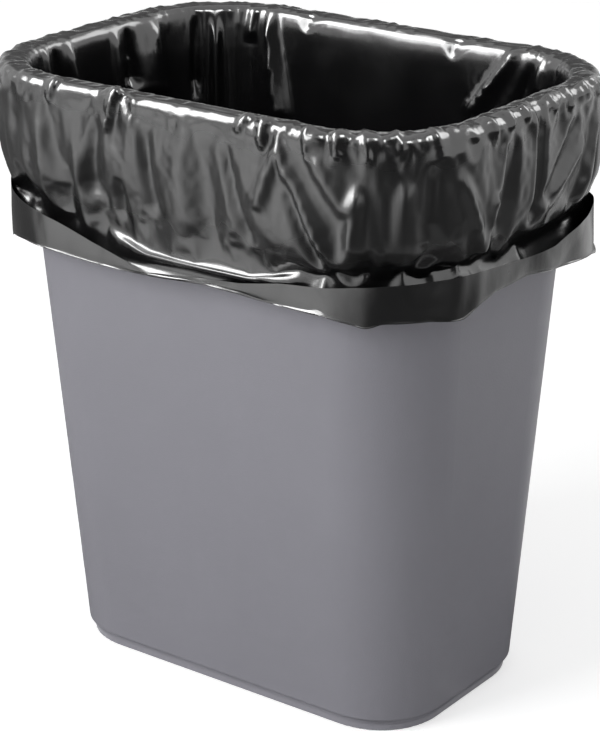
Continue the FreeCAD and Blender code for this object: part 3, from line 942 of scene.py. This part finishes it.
def buildWorld():
    world = bpy.data.worlds.new("studioWorld")
    world.use_nodes = True
    nodes, links = world.node_tree.nodes, world.node_tree.links
    nodes.clear()
    out = nodes.new("ShaderNodeOutputWorld")
    seenBack = nodes.new("ShaderNodeBackground")
    seenBack.inputs["Color"].default_value = (1, 1, 1, 1)
    seenBack.inputs["Strength"].default_value = 1.0
    litBack = nodes.new("ShaderNodeBackground")
    litBack.inputs["Color"].default_value = (1, 1, 1, 1)
    litBack.inputs["Strength"].default_value = room["worldLevel"]
    pick = nodes.new("ShaderNodeMixShader")
    links.new(seenOrMirrored(nodes, links), pick.inputs["Fac"])
    links.new(litBack.outputs[0], pick.inputs[1])
    links.new(seenBack.outputs[0], pick.inputs[2])
    links.new(pick.outputs[0], out.inputs["Surface"])
    bpy.context.scene.world = world


def lookAt(obj, place, target):
    place, target = Vector(place), Vector(target)
    turn = (target - place).to_track_quat("-Z", "Y").to_matrix().to_4x4()
    obj.matrix_world = Matrix.Translation(place) @ turn


def softbox(name, place, target, size, power, shineOnly):
    lamp = bpy.data.lights.new(name, "AREA")
    lamp.shape = "RECTANGLE"
    lamp.size, lamp.size_y = size
    lamp.energy = power
    obj = bpy.data.objects.new(name, lamp)
    bpy.context.scene.collection.objects.link(obj)
    lookAt(obj, place, target)
    obj.visible_diffuse = not shineOnly


def blackCard(name, place, target, size, share):
    w, h = size[0] / 2, size[1] / 2
    card = meshObject(name, [(-w, -h, 0), (w, -h, 0), (w, h, 0), (-w, h, 0)], [(0, 1, 2, 3)])
    lookAt(card, place, target)
    finishCard(card, ((0, 0), (1, 0), (1, 1), (0, 1)), share, room["cardRamp"])


def finishCard(card, spots, share, soft):  # black to gloss, clear to all else, with soft edges
    cardMap = card.data.uv_layers.new(name="cardMap")
    for loop in card.data.loops:
        cardMap.data[loop.index].uv = spots[loop.vertex_index]
    material, nodes, links, out = newMaterial(card.name)
    black = nodes.new("ShaderNodeBsdfDiffuse")
    black.inputs["Color"].default_value = (0, 0, 0, 1)
    clear = nodes.new("ShaderNodeBsdfTransparent")
    pick = nodes.new("ShaderNodeMixShader")
    uv = nodes.new("ShaderNodeTexCoord").outputs["UV"]
    split = nodes.new("ShaderNodeSeparateXYZ")
    links.new(uv, split.inputs[0])
    ramps = []
    for axis, low, high in (("X", 0.0, soft), ("X", 1.0, 1.0 - soft), ("Y", 0.0, room["cardFoot"])):
        ramp = nodes.new("ShaderNodeMapRange")
        ramp.interpolation_type = "SMOOTHSTEP"
        ramp.inputs["From Min"].default_value, ramp.inputs["From Max"].default_value = low, high
        links.new(split.outputs[axis], ramp.inputs["Value"])
        ramps.append(ramp)
    ramps[0].inputs["To Max"].default_value = share
    both = ramps[0].outputs["Result"]
    for ramp in ramps[1:]:
        times = nodes.new("ShaderNodeMath")
        times.operation = "MULTIPLY"
        links.new(both, times.inputs[0])
        links.new(ramp.outputs["Result"], times.inputs[1])
        both = times.outputs[0]
    links.new(both, pick.inputs["Fac"])
    links.new(clear.outputs[0], pick.inputs[1])
    links.new(black.outputs[0], pick.inputs[2])
    links.new(pick.outputs[0], out.inputs["Surface"])
    card.data.materials.append(material)
    card.visible_camera = False
    card.visible_diffuse = False
    card.visible_shadow = False


def floorCard(name, first, last, near, far, share, soft):
    verts, spots = [], []
    for angle in range(first, last + 1, 4):
        sine, cosine = math.sin(math.radians(angle)), math.cos(math.radians(angle))
        for v, reach in enumerate((near, far)):
            verts.append((reach * sine, -reach * cosine, room["cardHeight"]))
            spots.append(((angle - first) / (last - first), v))
    faces = [(2 * k, 2 * k + 1, 2 * k + 3, 2 * k + 2) for k in range(len(verts) // 2 - 1)]
    finishCard(meshObject(name, verts, faces), spots, share, soft)


camera = bpy.data.objects.new("camera", bpy.data.cameras.new("camera"))
bpy.context.scene.collection.objects.link(camera)
camera.data.lens = cameraPlan["lens"]
camera.data.sensor_width = cameraPlan["sensor"]
lookAt(camera, cameraPlan["place"], cameraPlan["target"])
bpy.context.scene.camera = camera

buildFloor()
buildWorld()
for lamp in lamps:
    softbox(*lamp)
for card in floorCards:
    floorCard(*card)
for card in blackCards:
    blackCard(*card)
bpy.context.scene.view_settings.view_transform = "Standard"

print("scene ready")
